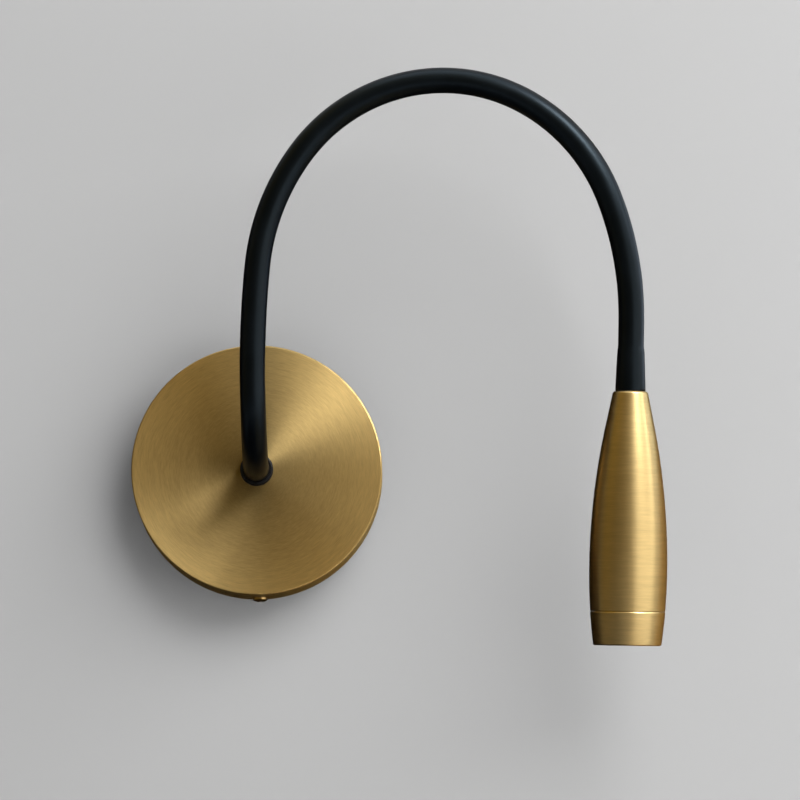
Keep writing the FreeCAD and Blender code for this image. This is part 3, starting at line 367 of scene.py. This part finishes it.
def plain_material(
    name, colour, roughness, metallic=0.0, grain=0.12, grain_scale=900.0, bump=0.0, gloss=0.5
):
    """A moulded, cast or plated surface with a slight grain in its tone and gloss."""
    material, shader, add = new_material(name)
    place = add("ShaderNodeTexCoord").outputs["Object"]
    noise = noise_node(add, place, grain_scale, 4.0)
    smooth, dull = max(0.0, roughness - 0.04), min(1.0, roughness + 0.04)
    inputs = {
        "Base Color": tone_node(add, noise, colour, grain, NOISE_LOW, NOISE_HIGH),
        "Roughness": range_node(add, noise, NOISE_LOW, NOISE_HIGH, smooth, dull),
        "Metallic": metallic,
        "Specular IOR Level": gloss,
    }
    if bump:
        inputs["Normal"] = bump_node(add, noise, bump, 0.0001)
    set_inputs(shader, inputs)
    return material


def sleeve_rubber():
    """Smooth black rubber with a low, broad sheen and a faint dusty grain."""
    material, shader, add = new_material("sleeve_rubber")
    place = add("ShaderNodeTexCoord").outputs["Object"]
    fine = noise_node(add, place, 2600.0, 3.0)
    broad = noise_node(add, place, 90.0, 3.0)
    stops = ((NOISE_LOW, RUBBER_DARK), (NOISE_HIGH, RUBBER_LIGHT))
    set_inputs(
        shader,
        {
            "Base Color": ramp_node(add, broad, stops),
            "Roughness": range_node(add, broad, NOISE_LOW, NOISE_HIGH, 0.31, 0.37),
            "Specular IOR Level": 0.20,
            "Specular Tint": (*RUBBER_SHEEN, 1),
            "Normal": bump_node(add, fine, 0.08, 0.00005),
        },
    )
    return material


def lens_material():
    """Clear acrylic."""
    material, shader, add = new_material("lens_clear")
    place = add("ShaderNodeTexCoord").outputs["Object"]
    noise = noise_node(add, place, 600.0, 3.0)
    set_inputs(
        shader,
        {
            "Roughness": range_node(add, noise, NOISE_LOW, NOISE_HIGH, 0.03, 0.10),
            "Base Color": (*LENS_TINT, 1),
            "Transmission Weight": 1.0,
            "IOR": ACRYLIC_IOR,
        },
    )
    return material


def dress(node, material):
    """Gives a CAD node its material."""
    mesh = NODES[node].data
    mesh.materials.clear()
    mesh.materials.append(material)


HEAD_TOP, HEAD_AXIS = neck_station(NECK_LENGTH)
canopy_brass = turned_brass(
    "canopy_brass",
    colour=BRASS,
    axis_point=(0, 0, 0),
    axis=(0, 1, 0),
    roughness=0.48,
    anisotropy=0.78,
    coat=0.10,
    coat_roughness=0.32,
    line_pitch=0.00022,
    arc=11.0,
    coarse_weight=0.4,
    streaks=0.20,
    # rim: painted light, the face lighter toward its edge
    rim=0.22,
    relief=0.10,
)
head_brass = turned_brass(
    "head_brass",
    colour=BRASS_BRIGHT,
    axis_point=HEAD_TOP,
    axis=HEAD_AXIS,
    roughness=0.38,
    anisotropy=0.42,
    coat=0.4,
    coat_roughness=0.38,
    line_pitch=0.00026,
    arc=2.6,
    coarse_weight=1.0,
    streaks=0.15,
    rim=0.0,
    relief=0.05,
)
rubber = sleeve_rubber()

MATERIAL_OF_SLOT = {
    "brushed_brass": canopy_brass,
    "brass_screw": plain_material("screw_brass", (0.74, 0.54, 0.25), 0.32, 1.0),
    "neck_rubber": rubber,
    "black_rubber": plain_material("black_rubber", (0.012, 0.012, 0.012), 0.6, bump=0.2),
    "black_plastic": plain_material(
        "black_plastic", (0.004, 0.004, 0.005), 0.42, bump=0.1, gloss=0.2
    ),
    "white_plastic": plain_material(
        "white_plastic", (0.72, 0.72, 0.69), 0.45, grain=0.03, bump=0.1
    ),
    "zinc_steel": plain_material("zinc_plate", (0.52, 0.53, 0.55), 0.38, 1.0, bump=0.1),
    "aluminium": plain_material("aluminium", (0.72, 0.73, 0.75), 0.35, 1.0),
    "circuit_board": plain_material("circuit_board", (0.02, 0.12, 0.04), 0.35),
    "wire_brown": plain_material("wire_brown", (0.10, 0.035, 0.015), 0.4),
    "wire_green": plain_material("wire_green", (0.05, 0.22, 0.03), 0.4),
    "lead_red": plain_material("lead_red", (0.28, 0.012, 0.010), 0.4),
    "thermal_pad": plain_material("thermal_pad", (0.26, 0.30, 0.34), 0.7),
    "emitter": plain_material("phosphor", (0.80, 0.55, 0.08), 0.25),
    "clear_lens": lens_material(),
}
for part in frame["record"]["subparts"]:
    dress(part["node"], MATERIAL_OF_SLOT[part["material_slot"]])
dress("head_shell", head_brass)
dress("front_ring", head_brass)


# ---------------------------------------------------------------------------------------
# The sleeve
# ---------------------------------------------------------------------------------------
def sleeve_rings(start, end):
    """Distance and outside radius of each ring between two distances along the neck."""
    count = max(2, round((end - start) / RING_STEP))
    rows = [(start + (end - start) * step / count, SLEEVE_RADIUS) for step in range(count + 1)]
    if end < NECK_LENGTH - TINY:
        return rows
    first = NECK_LENGTH - FLARE[0][0]
    rows = [row for row in rows if row[0] < first - RING_STEP / 2]
    for (far, wide), (near, narrow) in zip(FLARE, FLARE[1:]):
        parts = max(1, round((far - near) / RING_STEP))
        for step in range(parts):
            share = step / parts
            rows.append((NECK_LENGTH - far + (far - near) * share, wide + (narrow - wide) * share))
    rows.append((NECK_LENGTH - FLARE[-1][0], FLARE[-1][1]))
    return rows


SIDES_PER_METRE = 1e5


def ring_sides():
    """A direction across the neck, carried along it without twist, at every hundredth of a mm."""
    side = Vector((0, 0, 1))
    sides = {}
    distance = 0.0
    while distance <= NECK_LENGTH + TINY:
        _, way = neck_station(min(distance, NECK_LENGTH))
        side = (side - way * side.dot(way)).normalized()
        sides[round(distance * SIDES_PER_METRE)] = side.copy()
        distance += 1 / SIDES_PER_METRE
    return sides


SIDES = ring_sides()


def sleeve_piece(name, start, end):
    """A closed tube of rubber along part of the neck."""
    mesh_maker = bmesh.new()
    outer, inner = [], []
    for distance, radius in sleeve_rings(start, end):
        point, way = neck_station(distance)
        side = SIDES[min(round(distance * SIDES_PER_METRE), max(SIDES))]
        side = (side - way * side.dot(way)).normalized()
        other = way.cross(side)
        bore = max(SLEEVE_INSIDE, radius - FLARE_WALL)
        for loop, size in ((outer, radius), (inner, bore)):
            ring = []
            for number in range(SLEEVE_SIDES):
                angle = 2 * math.pi * number / SLEEVE_SIDES
                away = side * math.cos(angle) + other * math.sin(angle)
                ring.append(mesh_maker.verts.new(point + away * size))
            loop.append(ring)

    def skin(first, second, flip):
        for number in range(SLEEVE_SIDES):
            after = (number + 1) % SLEEVE_SIDES
            corners = [first[number], first[after], second[after], second[number]]
            face = mesh_maker.faces.new(list(reversed(corners)) if flip else corners)
            face.smooth = True

    for first, second in zip(outer, outer[1:]):
        skin(first, second, False)
    for first, second in zip(inner, inner[1:]):
        skin(first, second, True)
    skin(inner[0], outer[0], False)
    skin(outer[-1], inner[-1], False)
    for ring in (outer[0], outer[-1], inner[0], inner[-1]):
        for number in range(SLEEVE_SIDES):
            edge = mesh_maker.edges.get((ring[number], ring[(number + 1) % SLEEVE_SIDES]))
            edge.smooth = False
    bmesh.ops.recalc_face_normals(mesh_maker, faces=mesh_maker.faces)
    mesh = bpy.data.meshes.new(name)
    mesh_maker.to_mesh(mesh)
    mesh_maker.free()
    piece = bpy.data.objects.new(name, mesh)
    bpy.context.scene.collection.objects.link(piece)
    mesh.materials.append(rubber)
    return piece


# Each piece reaches halfway to the next joint's bend
RIMS = [start - RIM_BEFORE_START for start in STARTS[1:]]
CUTS = [SLEEVE_START] + [(one + two) / 2 for one, two in zip(RIMS, RIMS[1:])] + [NECK_LENGTH]
for number, (rim, half) in enumerate(zip(RIMS, HALF_BENDS)):
    low, high = CUTS[number], CUTS[number + 1]
    bend_from, bend_to = rim - half, rim + half
    tube = sleeve_piece(f"sleeve_{number + 1}", low, high)
    neck_station(bend_from)[0]
    neck_station(bend_to)[0]
    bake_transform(tube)
    stands_for = ["neck_sleeve_base"] if number == 0 else []
    stands_for.append(f"neck_sleeve_{number + 1}" if number < 7 else "neck_sleeve_head")
    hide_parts(*stands_for)


# ---------------------------------------------------------------------------------------
# Stage: wall and floor
# ---------------------------------------------------------------------------------------
WALL_COLOUR = (0.56, 0.56, 0.56)
FLOOR_COLOUR = (0.62, 0.62, 0.62)
FLOOR_LEVEL = -0.75
STAGE_REACH = 4
WALL_HOLE = CANOPY_RADIUS - 0.0006
HOLE_SIDES = 96


def stage_mesh(name, vertices, faces, material):
    mesh = bpy.data.meshes.new(name)
    mesh.from_pydata(vertices, [], faces)
    mesh.update()
    sheet = bpy.data.objects.new(name, mesh)
    bpy.context.scene.collection.objects.link(sheet)
    mesh.materials.append(material)
    sheet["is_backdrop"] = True
    return sheet


def stage_sheet(name, corners, material):
    return stage_mesh(name, corners, [(0, 1, 2, 3)], material)


def backdrop_material(name, colour):
    """A plain matt surface; from behind the camera looks through it."""
    material, shader, add = new_material(name)
    set_inputs(
        shader,
        {"Base Color": (*colour, 1), "Roughness": 0.9, "Specular IOR Level": 0.1},
    )
    backface = add("ShaderNodeNewGeometry").outputs["Backfacing"]
    camera_ray = add("ShaderNodeLightPath").outputs["Is Camera Ray"]
    both = math_node(add, "MULTIPLY", backface, camera_ray)
    clear = add("ShaderNodeBsdfTransparent").outputs["BSDF"]
    mix = add("ShaderNodeMixShader", {0: both, 1: shader.outputs["BSDF"], 2: clear})
    output = material.node_tree.nodes["Material Output"]
    set_inputs(output, {"Surface": mix.outputs["Shader"]})
    return material


def stage_wall():
    """The wall, with a hole behind the canopy so that light reaches the canopy's back."""
    vertices, faces = [], []
    for number in range(HOLE_SIDES):
        angle = 2 * math.pi * number / HOLE_SIDES
        x, z = math.cos(angle), math.sin(angle)
        reach = STAGE_REACH / max(abs(x), abs(z))
        vertices.append((WALL_HOLE * x, 0, WALL_HOLE * z))
        vertices.append((reach * x, 0, max(FLOOR_LEVEL, reach * z)))
        after = 2 * ((number + 1) % HOLE_SIDES)
        faces.append((2 * number, 2 * number + 1, after + 1, after))
    stage_mesh("wall", vertices, faces, backdrop_material("wall_paint", WALL_COLOUR))


def stage_floor():
    near, far = -STAGE_REACH, 0
    left, right = -STAGE_REACH, STAGE_REACH
    corners = [(left, near), (right, near), (right, far), (left, far)]
    stage_sheet(
        "floor",
        [(x, y, FLOOR_LEVEL) for x, y in corners],
        backdrop_material("floor_paint", FLOOR_COLOUR),
    )


stage_wall()
stage_floor()

# ---------------------------------------------------------------------------------------
# Light: soft boxes, and what only the reflections show
# ---------------------------------------------------------------------------------------
AIM = Vector((0.06, -0.05, 0.0))
WHITE = (1, 1, 1)
COOL_WHITE = (0.92, 0.96, 1.0)
DAYLIGHT = (0.86, 0.93, 1.0)


def direction(azimuth, height):
    """From the aim, in degrees: azimuth to the right of the front, height up."""
    turn, rise = math.radians(azimuth), math.radians(height)
    level = math.cos(rise)
    return Vector((math.sin(turn) * level, -math.cos(turn) * level, math.sin(rise)))


def face_aim(thing, azimuth, height, distance):
    """Puts a lamp or a card round the aim, facing it."""
    way = direction(azimuth, height)
    thing.location = AIM + way * distance
    thing.rotation_euler = way.to_track_quat("Z", "Y").to_euler()


def soft_box(name, *, azimuth, height, distance, width, tall, power):
    light = bpy.data.lights.new(name, "AREA")
    light.shape = "RECTANGLE"
    light.size, light.size_y = width, tall
    light.energy = power
    lamp = bpy.data.objects.new(name, light)
    face_aim(lamp, azimuth, height, distance)
    bpy.context.scene.collection.objects.link(lamp)
    return lamp


def only_reflected(thing):
    for kind in ("camera", "diffuse", "transmission", "shadow", "volume_scatter"):
        setattr(thing, f"visible_{kind}", False)


def glow_material(name):
    """A material that only gives light, with its glow node and a helper that adds nodes."""
    material = bpy.data.materials.new(name)
    material.use_nodes = True
    material.node_tree.nodes.clear()
    add = node_adder(material.node_tree)
    glow = add("ShaderNodeEmission")
    add("ShaderNodeOutputMaterial", {"Surface": glow.outputs["Emission"]})
    return material, glow, add


def glow_card(name, *, azimuth, height, distance, width, tall, colour, strength):
    """A bright card, seen only in reflections."""
    material, glow, _ = glow_material(name)
    set_inputs(glow, {"Color": (*colour, 1), "Strength": strength})
    x, y = width / 2, tall / 2
    sheet = stage_sheet(name, [(-x, -y, 0), (x, -y, 0), (x, y, 0), (-x, y, 0)], material)
    face_aim(sheet, azimuth, height, distance)
    only_reflected(sheet)


ROOM_RADIUS = 3.4
ROOM_TINT = (1, 0.70, 0.15)
ROOM_CEILING = 4.5
ROOM_FLOOR = 0.35
ROOM_COLUMNS, ROOM_ROWS = 72, 36
ROOM_HALF_TURN, ROOM_HALF_RISE = 98, 88

# The room's grey by azimuth
ROOM_GREYS = (
    (-180, 0.03),
    (-110, 0.03),
    (-80, 0.20),
    (-60, 0.19),
    (-46, 0.12),
    (-23, 0.12),
    (0, 0.18),
    (60, 0.24),
    (100, 0.20),
    (180, 0.12),
)


def room_dome():
    """A dim warm room in front of the wall, lighter overhead and darker low down.

    It is seen only in reflections, and its tone goes by azimuth.
    """
    material, glow, add = glow_material("room")
    place = add("ShaderNodeTexCoord").outputs["Object"]
    parts = add("ShaderNodeSeparateXYZ", {0: place}).outputs
    front = math_node(add, "MULTIPLY", parts["Y"], -1.0)
    turn = math_node(add, "ARCTAN2", parts["X"], front)
    stops = [
        ((azimuth + 180) / 360, tuple(grey * part for part in ROOM_TINT))
        for azimuth, grey in ROOM_GREYS
    ]
    tone = ramp_node(add, range_node(add, turn, -math.pi, math.pi), stops)
    lift = range_node(add, parts["Z"], ROOM_RADIUS * 0.35, ROOM_RADIUS * 0.90, 1.0, ROOM_CEILING)
    sink = range_node(add, parts["Z"], -ROOM_RADIUS * 0.60, -ROOM_RADIUS * 0.25, ROOM_FLOOR, 1.0)
    set_inputs(glow, {"Color": tone, "Strength": math_node(add, "MULTIPLY", lift, sink)})

    vertices, faces = [], []
    for row in range(ROOM_ROWS + 1):
        height = -ROOM_HALF_RISE + 2 * ROOM_HALF_RISE * row / ROOM_ROWS
        for column in range(ROOM_COLUMNS + 1):
            azimuth = -ROOM_HALF_TURN + 2 * ROOM_HALF_TURN * column / ROOM_COLUMNS
            vertices.append(direction(azimuth, height) * ROOM_RADIUS)
    across = ROOM_COLUMNS + 1
    for row in range(ROOM_ROWS):
        for column in range(ROOM_COLUMNS):
            first = row * across + column
            faces.append((first, first + 1, first + across + 1, first + across))
    dome = stage_mesh("room", vertices, faces, material)
    dome.location = AIM
    only_reflected(dome)


KEY = {"azimuth": 48, "height": 38, "width": 2.6, "tall": 1.6}
soft_box("key", distance=2.0, power=56, **KEY).visible_glossy = False
soft_box("low", azimuth=50, height=-6, distance=2.0, width=2.2, tall=0.9, power=9)
soft_box("strip", azimuth=78, height=24, distance=1.7, width=0.30, tall=1.2, power=4)
glow_card("key_card", distance=1.98, colour=WHITE, strength=1.2, **KEY)
glow_card(
    "glint_card",
    azimuth=45,
    height=42,
    distance=1.90,
    width=0.70,
    tall=0.70,
    colour=WHITE,
    strength=22,
)
glow_card(
    "top_card",
    azimuth=20,
    height=78,
    distance=1.60,
    width=1.5,
    tall=1.1,
    colour=COOL_WHITE,
    strength=2.4,
)
glow_card(
    "edge_card",
    azimuth=80,
    height=32,
    distance=1.60,
    width=0.30,
    tall=0.90,
    colour=DAYLIGHT,
    strength=6,
)
room_dome()

CARD_LEFT, CARD_RIGHT = -0.5, 0.6
CARD_LOW, CARD_HIGH = -0.4, 0.18
CARD_BACK, CARD_FRONT = -0.0015, -0.60
CARD_DARK = (0.012, 0.009, 0.006, 1)
CARD_WARM = (0.40, 0.28, 0.12, 1)
CARD_PALE = (0.72, 0.80, 0.92, 1)
CARD_GLOW = (0.72, 0.82, 0.95, 1)


def card_material():
    """Painted reflections: dark behind the arch and below, warm right of the head, pale and
    glowing right of the arch.
    """
    material, shader, add = new_material("card")
    place = add("ShaderNodeTexCoord").outputs["Object"]
    parts = add("ShaderNodeSeparateXYZ", {0: place}).outputs
    right_of_head = range_node(add, parts["X"], 0.12, 0.17)
    below_arch = range_node(add, parts["Z"], 0.04, 0.02)
    warm = math_node(add, "MULTIPLY", right_of_head, below_arch)
    right_of_arch = range_node(add, parts["X"], 0.18, 0.26)
    above_head = range_node(add, parts["Z"], 0.02, 0.05)
    pale = math_node(add, "MULTIPLY", right_of_arch, above_head)
    set_inputs(
        shader,
        {
            "Base Color": mix_node(
                add, pale, mix_node(add, warm, CARD_DARK, CARD_WARM), CARD_PALE
            ),
            "Roughness": 1.0,
            "Specular IOR Level": 0.0,
            # the pale zone glows: a painted highlight on the neck's right edge
            "Emission Color": CARD_GLOW,
            "Emission Strength": pale,
        },
    )
    return material


# two cards, seen only in reflections: one close to the wall, one level below the lamp
card = card_material()
low_left, low_right = (CARD_LEFT, CARD_BACK, CARD_LOW), (CARD_RIGHT, CARD_BACK, CARD_LOW)
high_left, high_right = (CARD_LEFT, CARD_BACK, CARD_HIGH), (CARD_RIGHT, CARD_BACK, CARD_HIGH)
near_left, near_right = (CARD_LEFT, CARD_FRONT, CARD_LOW), (CARD_RIGHT, CARD_FRONT, CARD_LOW)
only_reflected(stage_sheet("dark_card", [low_left, low_right, high_right, high_left], card))
only_reflected(stage_sheet("under_card", [near_left, near_right, low_right, low_left], card))

# the brass throws no warm light on the wall
bpy.context.scene.cycles.caustics_reflective = False

# the world lights the object faintly, and shows pale to the camera, in metal and through glass
SKY_LIGHT = 0.15
SKY_SHOWN = 0.62
world = bpy.data.worlds.new("studio")
bpy.context.scene.world = world
world.use_nodes = True
add_sky = node_adder(world.node_tree)
rays = add_sky("ShaderNodeLightPath").outputs
seen = math_node(add_sky, "MAXIMUM", rays["Is Camera Ray"], rays["Is Glossy Ray"])
seen = math_node(add_sky, "MAXIMUM", seen, rays["Is Transmission Ray"])
set_inputs(
    world.node_tree.nodes["Background"],
    {"Color": (*WHITE, 1), "Strength": range_node(add_sky, seen, 0.0, 1.0, SKY_LIGHT, SKY_SHOWN)},
)

# ---------------------------------------------------------------------------------------
# Camera, at the photograph's angle
# ---------------------------------------------------------------------------------------
LENS = 280.2
SENSOR_WIDTH = 36
CAMERA_PLACE = (0.05754, -2.50699, -0.27472)
CAMERA_RISE = math.radians(6.95)
camera_data = bpy.data.cameras.new("camera")
camera_data.lens = LENS
camera_data.sensor_width = SENSOR_WIDTH
camera_data.clip_start, camera_data.clip_end = 0.05, 20
camera = bpy.data.objects.new("camera", camera_data)
camera.location = CAMERA_PLACE
camera.rotation_euler = (math.pi / 2 + CAMERA_RISE, 0, 0)
bpy.context.scene.collection.objects.link(camera)
bpy.context.scene.camera = camera
bpy.context.scene.view_settings.view_transform = "Standard"

low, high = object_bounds()
